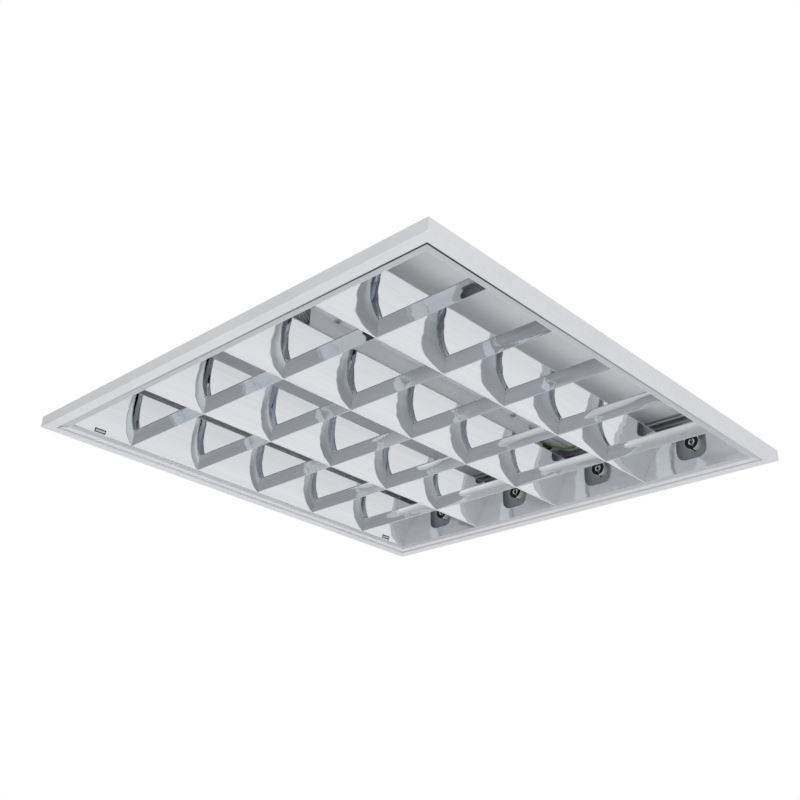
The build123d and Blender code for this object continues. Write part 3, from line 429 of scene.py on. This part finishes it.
class Rule(Nodes):
    """A geometry rule with named sizes, run on a mesh of points or edges and baked to a plain mesh."""

    family = "GeometryNode"

    def __init__(self, name, **sizes):
        self.tree = bpy.data.node_groups.new(name, "GeometryNodeTree")
        sockets = self.tree.interface
        sockets.new_socket("Geometry", in_out="INPUT", socket_type="NodeSocketGeometry")
        sockets.new_socket("Geometry", in_out="OUTPUT", socket_type="NodeSocketGeometry")
        self.keys = {}
        for size, value in sizes.items():
            socket = sockets.new_socket(size, in_out="INPUT", socket_type="NodeSocketFloat")
            socket.default_value = value
            self.keys[size] = socket.identifier
        self.entry = self.tree.nodes.new("NodeGroupInput")
        self.source = Value(self, self.entry.outputs["Geometry"])

    def size(self, name):
        return Value(self, self.entry.outputs[name])

    def vector(self, x=0.0, y=0.0, z=0.0):
        return self.add("ShaderNodeCombineXYZ", X=x, Y=y, Z=z)

    def moved(self, shape, **way):
        return self.add("Transform", Geometry=shape, Translation=self.vector(**way))

    def joined(self, *shapes):
        join = self.tree.nodes.new("GeometryNodeJoinGeometry")
        for shape in shapes:
            self.tree.links.new(shape.socket, join.inputs[0])
        return Value(self, join.outputs[0])

    def on_points(self, shape):
        """One copy at each point, turned by the point's "turn" angles."""
        angles = self.add("InputNamedAttribute", settings={"data_type": "FLOAT_VECTOR"}, Name="turn")
        turn = self.add("FunctionNodeEulerToRotation", Euler=angles)
        return self.add("InstanceOnPoints", Points=self.source, Instance=shape, Rotation=turn)

    def close(self, shape, material):
        real = self.add("RealizeInstances", Geometry=shape)
        dressed = self.add("SetMaterial", Geometry=real, Material=material)
        end = self.tree.nodes.new("NodeGroupOutput")
        self.tree.links.new(dressed.socket, end.inputs[0])

    def make(self, name, body, points, edges=(), turns=None, **sizes):
        """Runs the rule on the points with these sizes and leaves a plain mesh on a body."""
        mesh = bpy.data.meshes.new(name)
        mesh.from_pydata(points, edges, [])
        angles = mesh.attributes.new("turn", "FLOAT_VECTOR", "POINT")
        for i, turn in enumerate(turns or [(0, 0, 0)] * len(points)):
            angles.data[i].vector = turn
        seat = bpy.data.objects.new(name + "_seat", mesh)
        bpy.context.scene.collection.objects.link(seat)
        modifier = seat.modifiers.new("rule", "NODES")
        modifier.node_group = self.tree
        for size, value in sizes.items():
            modifier[self.keys[size]] = value
        depsgraph = bpy.context.evaluated_depsgraph_get()
        plain = bpy.data.meshes.new_from_object(seat.evaluated_get(depsgraph))
        seat.modifiers.remove(modifier)
        bpy.data.objects.remove(seat)
        plain.name = name
        piece = bpy.data.objects.new(name, plain)
        bpy.context.scene.collection.objects.link(piece)
        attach(piece, body)
        return piece


def rivet_rule(material):
    """Blind rivet: a flat rim, a stepped dome and the pulled stem's end in its hollow."""
    r = Rule("rivet_rule", radius=0.003, height=0.0011)
    radius = r.size("radius")
    height = r.size("height")
    steps = ((1.0, 0.94, 0.0, 0.28), (0.94, 0.72, 0.28, 0.42), (0.72, 0.46, 0.70, 0.30))
    parts = []
    for wide, narrow, low, tall in steps:
        cone = r.add("MeshCone", output="Mesh", Vertices=28, Radius_Bottom=radius * wide,
                     Radius_Top=radius * narrow, Depth=height * tall)
        parts.append(r.moved(cone, z=height * low))
    stem = r.add("MeshCone", output="Mesh", Vertices=16, Radius_Bottom=radius * 0.24,
                 Radius_Top=radius * 0.17, Depth=height * 0.22)
    parts.append(r.moved(stem, z=height * 1.0))
    r.close(r.on_points(r.joined(*parts)), material)
    return r


def ring_rule(name, material):
    """Shallow pressed ring: a round bead along a circle, half sunk in the sheet."""
    r = Rule(name, radius=0.01, bead=0.0004)
    path = r.add("CurvePrimitiveCircle", Resolution=48, Radius=r.size("radius"))
    profile = r.add("CurvePrimitiveCircle", Resolution=10, Radius=r.size("bead"))
    ring = r.add("CurveToMesh", Curve=path, Profile_Curve=profile)
    r.close(r.on_points(ring), material)
    return r


def hem_rule(name, material):
    """Rolled hem: a round bead along every edge."""
    r = Rule(name, radius=0.0006)
    path = r.add("MeshToCurve", Mesh=r.source)
    profile = r.add("CurvePrimitiveCircle", Resolution=12, Radius=r.size("radius"))
    hem = r.add("CurveToMesh", Curve=path, Profile_Curve=profile, Fill_Caps=True)
    r.close(hem, material)
    return r


def tab_rule(material):
    """Bent tab that locks a blade on a long reflector: a level foot and an upright ear."""
    r = Rule("tab_rule", width=0.004, reach=0.0016, sheet=0.0005)
    width = r.size("width")
    reach = r.size("reach")
    sheet = r.size("sheet")
    foot = r.add("MeshCube", output="Mesh", Size=r.vector(reach, width, sheet))
    ear = r.add("MeshCube", output="Mesh", Size=r.vector(sheet, width, reach))
    bend = r.add("MeshCylinder", output="Mesh", Vertices=16, Radius=sheet, Depth=width)
    laid = r.add("Transform", Geometry=bend, Rotation=(math.pi / 2, 0, 0))
    tab = r.joined(r.moved(foot, x=reach * 0.5), r.moved(ear, z=reach * 0.5), laid)
    r.close(r.on_points(tab), material)
    return r


def raised_bead(name, length, width, height, places):
    """Long stiffening beads pressed out of the tray's top, with round ends. Each is a closed cushion
    whose underside lies in the sheet."""
    half = width / 2
    angles = [math.radians(6 + 84 * k / CAP_STEPS) for k in range(CAP_STEPS + 1)]
    cap = [(length / 2 + half * math.cos(a), half * math.sin(a)) for a in angles]
    stations = [(-x, reach) for x, reach in cap] + cap[::-1]
    row = BEAD_STEPS + 1
    last = len(stations) - 1
    points = []
    faces = []
    for x0, y0 in places:
        first = len(points)
        for x, reach in stations:
            for j in range(row):
                y = (2 * j / BEAD_STEPS - 1) * reach
                off = min(1.0, math.hypot(max(0.0, abs(x) - length / 2), y) / half)
                rise = (height + BEAD_SINK) * (1 - off * off) ** 2 - BEAD_SINK
                points.append((x0 + x, y0 + y, TRAY_SHEET_TOP + rise))
        for i in range(last):
            for j in range(BEAD_STEPS):
                a = first + i * row + j
                faces.append((a, a + row, a + row + 1, a + 1))
        rim = [j for j in range(row)] + [i * row + BEAD_STEPS for i in range(1, last)]
        rim += [last * row + j for j in reversed(range(row))] + [i * row for i in range(last - 1, 0, -1)]
        faces.append([first + corner for corner in rim])
    mesh = bpy.data.meshes.new(name)
    mesh.from_pydata(points, [], faces)
    mesh.materials.append(COAT)
    mesh.shade_smooth()
    piece = bpy.data.objects.new(name, mesh)
    bpy.context.scene.collection.objects.link(piece)
    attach(piece, "housing")


CAP_STEPS = 8
BEAD_STEPS = 14
BEAD_LENGTH = 0.40
BEAD_WIDTH = 0.011
BEAD_HEIGHT = 0.0013
BEAD_ROWS = (-0.12, 0.0, 0.12)
BEAD_SINK = 0.0001                      # the beads' undersides lie this deep in the sheet
RIVET_INSET = 0.0072
RIVET_PITCH = 0.076
WELD_SHIFT = 0.020                      # weld marks, to both sides of each lampholder
WELD_HEIGHT = 0.0775
KNOCK_OUT_X = 0.10
KNOCK_OUT_Y = 0.225
HOLDER_X = [(i - 2.5) * LAMP_PITCH for i in LAMPS]
UP = (0.0, 0.0, 0.0)
TO_FRONT = (math.pi / 2, 0.0, 0.0)
TO_BACK = (-math.pi / 2, 0.0, 0.0)


def fasten_housing():
    """Rivets through the end panels' folds, weld marks of the holder rails, knock-outs, beads."""
    rivets = rivet_rule(ZINC)
    row = WALL_OUTSIDE - RIVET_INSET
    seats = [(x * RIVET_PITCH, side * row, TRAY_SHEET_TOP) for x in range(-3, 4) for side in (-1, 1)]
    rivets.make("housing_rivets", "housing", seats, turns=[UP] * len(seats))
    welds = ring_rule("weld_rule", COAT)
    marks = []
    turns = []
    for side, turn in ((-1, TO_FRONT), (1, TO_BACK)):
        for x in HOLDER_X:
            for shift in (-WELD_SHIFT, WELD_SHIFT):
                marks.append((x + shift, side * WALL_OUTSIDE, WELD_HEIGHT))
                turns.append(turn)
    welds.make("weld_marks", "housing", marks, turns=turns, radius=0.0024, bead=0.00018)
    knocks = [(x * KNOCK_OUT_X, y * KNOCK_OUT_Y, TRAY_SHEET_TOP) for x in (-1, 1) for y in (-1, 1)]
    welds.make("knock_outs", "housing", knocks, radius=0.0105, bead=0.0003)
    raised_bead("tray_beads", BEAD_LENGTH, BEAD_WIDTH, BEAD_HEIGHT, [(0.0, y) for y in BEAD_ROWS])


EDGE_BAND = 0.0002                      # how far from an edge its corners may lie
CREASE_BAND = 0.00005


def top_edges(name, level, along):
    """Start and end of a sheet's straight top edges, the outermost ones across its length."""
    axis, cross = (0, 1) if along == "X" else (1, 0)
    corners = [v.co for v in NODES[name].data.vertices if v.co.z > level - EDGE_BAND]
    middle = sum(c[cross] for c in corners) / len(corners)
    widest = max(abs(c[cross] - middle) for c in corners)
    found = []
    for side in (-1, 1):
        outer = [c for c in corners if side * (c[cross] - middle) > widest - 1.5 * EDGE_BAND]
        edge = sorted({round(c[axis], 4) for c in outer})
        for start, end in zip(edge[::2], edge[1::2]):
            ends = []
            for reach in (start, end):
                at = [0.0, 0.0, level - HEM_RADIUS]
                at[axis] = reach
                at[cross] = middle + side * (widest - HEM_RADIUS / 2)
                ends.append(tuple(at))
            found.append(ends)
    return found


def bottom_crease(name, along, bead):
    """Start and end of each straight stretch of a V's bottom crease."""
    axis, cross = (0, 1) if along == "X" else (1, 0)
    corners = [v.co for v in NODES[name].data.vertices if v.co.z < BLADE_BASE + CREASE_BAND]
    middle = sum(c[cross] for c in corners) / len(corners)
    reaches = sorted({round(c[axis], 3) for c in corners})
    found = []
    for start, end in zip(reaches[::2], reaches[1::2]):
        ends = []
        for reach in (start, end):
            at = [0.0, 0.0, BLADE_BASE + bead]
            at[axis] = reach
            at[cross] = middle
            ends.append(tuple(at))
        found.append(ends)
    return found


HEM_RADIUS = 0.0005
REFLECTOR_BEAD = 0.00055
BLADE_BEAD = 0.00032
TAB_INSET = 0.0012
TAB_LIFT = 0.0004
V_REFLECTORS = [f"v_reflector_{side}" for side in ("left", "middle", "right")]
BLADES = [f"cross_blades_{i}" for i in BLADE_ROWS]
# painted highlight: the crease beads are near-white satin with little metal, for the bright line along each
# crease
CREASE_HIGHLIGHT_X = satin_sheet("crease_highlight_cross", "X", (0.80, 0.81, 0.83), 0.3, paint_shade=False)
CREASE_HIGHLIGHT_Y = satin_sheet("crease_highlight_long", "Y", (0.93, 0.935, 0.945), 0.1, paint_shade=False)


def hem_louvre():
    """Rolled hems along the reflectors' and blades' top edges, beads along their bottom creases in a
    near-white satin that is a painted highlight, and the tabs that lock the blades."""
    for name, material, nodes, level, along in (
            ("reflector_hems", MIRROR_ALONG_Y, V_REFLECTORS, LOUVRE_TOP, "Y"),
            ("blade_hems", MIRROR_ALONG_X, BLADES, BLADE_TOP, "X")):
        points = []
        edges = []
        for node in nodes:
            for start, end in top_edges(node, level, along):
                edges.append((len(points), len(points) + 1))
                points += [start, end]
            hem_rule(name + "_rule", material).make(name, "louvre", points, edges, radius=HEM_RADIUS)
    for name, material, nodes, along, bead in (
            ("reflector_crease_highlights", CREASE_HIGHLIGHT_Y, V_REFLECTORS, "Y", REFLECTOR_BEAD),
            ("blade_crease_highlights", CREASE_HIGHLIGHT_X, BLADES, "X", BLADE_BEAD)):
        points = []
        edges = []
        for node in nodes:
            for start, end in bottom_crease(node, along, bead):
                edges.append((len(points), len(points) + 1))
                points += [start, end]
        hem_rule(name + "_rule", material).make(name, "louvre", points, edges, radius=bead)
    tabs = []
    turns = []
    for i in BLADE_ROWS:
        for start, end in top_edges(f"cross_blades_{i}", BLADE_TOP, "X"):
            for (x, y, z), turn in ((start, (0, 0, 0)), (end, (0, 0, math.pi))):
                inward = TAB_INSET if turn[2] == 0 else -TAB_INSET
                tabs.append((x + inward, y, z + TAB_LIFT))
                turns.append(turn)
    tab_rule(MIRROR_ALONG_X).make("blade_tabs", "louvre", tabs, turns=turns)


def press_springs():
    """Puts a copy of each latch spring on the louvre and hides the imported one. The real bow springs flatten
    against the left rail as their latches are pulled in; these copies keep their shape.
    """
    for end in ENDS:
        node = NODES[f"latch_spring_{end}"]
        spring = bpy.data.objects.new(f"bow_spring_{end}", node.data.copy())
        bpy.context.scene.collection.objects.link(spring)
        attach(spring, "louvre")
        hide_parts(node.name)
        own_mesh(spring)


fasten_housing()
hem_louvre()
press_springs()


# ---------------------------------------------------------------- studio

FLOOR_Z = -2.2
FLOOR_SIZE = 14.0
CEILING_REACH = 3.0
CEILING_OVERLAP = 0.0004       # the ceiling laps the rim by this much
# greys over a direction: (share, grey). Heights run from straight down to straight up, and the two
# sides from facing away from them to facing them
ROOM_HEIGHTS = ((0.08, 0.58), (0.16, 0.36), (0.21, 0.17), (0.27, 0.36), (0.33, 0.56), (0.40, 0.88),
                (0.46, 0.42), (0.60, 0.74))
VIEWER_HEIGHTS = ((0.08, 0.50), (0.20, 0.35), (0.35, 0.42), (0.47, 0.40), (0.60, 0.74))
VIEWER_SIDE = ((0.55, 0.0), (0.76, 1.0))
WINDOW_SIDE = ((0.66, 0.0), (0.74, 0.62), (0.86, 0.72), (0.98, 0.82))
WINDOW_AZIMUTH = 38.0          # the bright side of the room, from +X towards +Y
VIEWER_SHARE = 0.354           # half the cosine of the 45 degrees to the viewer's side
HORIZON = ((0.47, 1.0), (0.53, 0.0))
DAYLIGHT = ((0.35, 0.80), (0.54, 0.44))
LAMPS_AT = (                   # name, place, target, size in metres, watts
    ("lamp_above", (1.2, -0.8, 2.6), (0, 0, 0), 2.5, 45),
    ("lamp_below", (0.3, -0.2, -2.1), (0, 0, 0), 3.0, 18),
    ("lamp_right", (2.6, 0.6, -0.7), (0, 0, 0), 1.8, 6),
    ("lamp_left", (-2.2, 0.2, -1.5), (0, 0, 0), 1.6, 16),
    ("lamp_viewer", (1.3, -1.35, -0.75), (0, 0, 0), 0.8, 7),
    ("lamp_chamber", (0, 0, LOUVRE_TOP + 0.001), (0, 0, 1), 0.5, 0.09),
)


def flat_mesh(name, corners, faces):
    mesh = bpy.data.meshes.new(name)
    mesh.from_pydata(corners, [], faces)
    obj = bpy.data.objects.new(name, mesh)
    bpy.context.scene.collection.objects.link(obj)
    return obj


def make_floor():
    """Plain pale floor well below the light."""
    half = FLOOR_SIZE / 2
    corners = [(-half, -half, FLOOR_Z), (half, -half, FLOOR_Z), (half, half, FLOOR_Z), (-half, half, FLOOR_Z)]
    floor = flat_mesh("studio_floor", corners, [(0, 1, 2, 3)])
    f = new_finish("pale_floor")
    floor.data.materials.append(f.surface(Base_Color=colour(0.86), Roughness=0.9))
    floor.visible_glossy = False


def make_ceiling():
    """White ceiling that the light is let into: it shows from below only and takes part in no lighting."""
    inner = RIM - CEILING_OVERLAP
    outer = CEILING_REACH
    z = RIM_TOP - CEILING_OVERLAP / 2
    corners = []
    for reach in (inner, outer):
        corners += [(-reach, -reach, z), (reach, -reach, z), (reach, reach, z), (-reach, reach, z)]
    faces = [(i, (i + 1) % 4, (i + 1) % 4 + 4, i + 4) for i in range(4)]
    ceiling = flat_mesh("studio_ceiling", corners, faces)
    f = new_finish("white_ceiling")
    seen = f.add("Emission", Color=colour(1.0), Strength=1.0)
    clear = f.add("BsdfTransparent")
    above = f.add("NewGeometry", output="Backfacing")
    direct = f.add("LightPath", output="Is Camera Ray")
    hidden = f.maths("MAXIMUM", above, 1.0 - direct)
    f.add("OutputMaterial", Surface=f.add("MixShader", _0=hidden, _1=seen, _2=clear))
    ceiling.data.materials.append(f.owner)
    ceiling.visible_shadow = False


def make_world():
    """White to the camera, plain to matt surfaces. The mirrors see a bright room on their right,
    a greyer one on the viewer's side, and grey above the horizon."""
    world = bpy.data.worlds.new("studio_world")
    bpy.context.scene.world = world
    f = Finish(world)
    way = f.add("TexCoord", output="Generated")
    x = f.add("SeparateXYZ", output="X", Vector=way)
    y = f.add("SeparateXYZ", output="Y", Vector=way)
    up = f.add("SeparateXYZ", output="Z", Vector=way)
    east = math.cos(math.radians(WINDOW_AZIMUTH)) / 2
    north = math.sin(math.radians(WINDOW_AZIMUTH)) / 2
    window = f.ramp(0.5 + east * x + north * y, *WINDOW_SIDE)
    viewer = f.ramp(0.5 + VIEWER_SHARE * x - VIEWER_SHARE * y, *VIEWER_SIDE)
    away = f.ramp(0.5 + 0.5 * up, *ROOM_HEIGHTS)
    low = away + viewer * (f.ramp(0.5 + 0.5 * up, *VIEWER_HEIGHTS) - away)
    below = f.ramp(0.5 + 0.5 * up, *HORIZON)
    share = below * f.ramp(window, (0.0, 0.0), (0.5, 1.0))
    grey = low + share * (window - low)
    room = f.add("Background", Color=grey, Strength=1.0)
    plain = f.add("Background", Color=f.ramp(0.5 + 0.5 * up, *DAYLIGHT), Strength=1.0)
    seen = f.add("Background", Color=colour(1.0), Strength=1.0)
    glossy = f.add("LightPath", output="Is Glossy Ray")
    camera = f.add("LightPath", output="Is Camera Ray")
    lit = f.add("MixShader", _0=glossy, _1=plain, _2=room)
    f.add("OutputWorld", Surface=f.add("MixShader", _0=camera, _1=lit, _2=seen))


def area_lamp(name, place, target, size, watts):
    """Soft square lamp, not seen by the camera."""
    data = bpy.data.lights.new(name, "AREA")
    data.size = size
    data.energy = watts
    lamp = bpy.data.objects.new(name, data)
    bpy.context.scene.collection.objects.link(lamp)
    aim = Vector(target) - Vector(place)
    lamp.location = place
    lamp.rotation_euler = aim.to_track_quat("-Z", "Y").to_euler()
    lamp.visible_camera = False
    lamp.visible_glossy = False


CAMERA_PLACE = (0.77733, -0.80267, -0.48941)
CAMERA_AZIMUTH = 134.299       # of the line of sight, from +X towards +Y
CAMERA_ELEVATION = 26.002
CAMERA_ROLL = -2.340
FOCAL_PIXELS = 1069.64
PHOTO_PIXELS = 800
CENTRE_PIXEL = 409.29          # the photo's optical axis, from its left edge


def make_camera():
    """The photograph's viewpoint, fitted to the rim's corners and the louvre's grid."""
    azimuth = math.radians(CAMERA_AZIMUTH)
    elevation = math.radians(CAMERA_ELEVATION)
    roll = math.radians(CAMERA_ROLL)
    level = math.cos(elevation)
    forward = Vector((level * math.cos(azimuth), level * math.sin(azimuth), math.sin(elevation)))
    right = forward.cross(Vector((0, 0, 1))).normalized()
    down = forward.cross(right)
    turned = math.cos(roll) * right + math.sin(roll) * down
    up = -forward.cross(turned)
    data = bpy.data.cameras.new("photo_camera")
    data.sensor_width = 36.0
    data.lens = FOCAL_PIXELS * data.sensor_width / PHOTO_PIXELS
    data.shift_x = (PHOTO_PIXELS / 2 - CENTRE_PIXEL) / PHOTO_PIXELS
    data.clip_end = 50.0
    camera = bpy.data.objects.new("photo_camera", data)
    bpy.context.scene.collection.objects.link(camera)
    pose = Matrix((turned, up, -forward)).transposed().to_4x4()
    pose.translation = Vector(CAMERA_PLACE)
    camera.matrix_world = pose
    bpy.context.scene.camera = camera


make_floor()
make_ceiling()
make_world()
for lamp in LAMPS_AT:
    area_lamp(*lamp)
make_camera()

view = bpy.context.scene.view_settings
view.view_transform = "Standard"
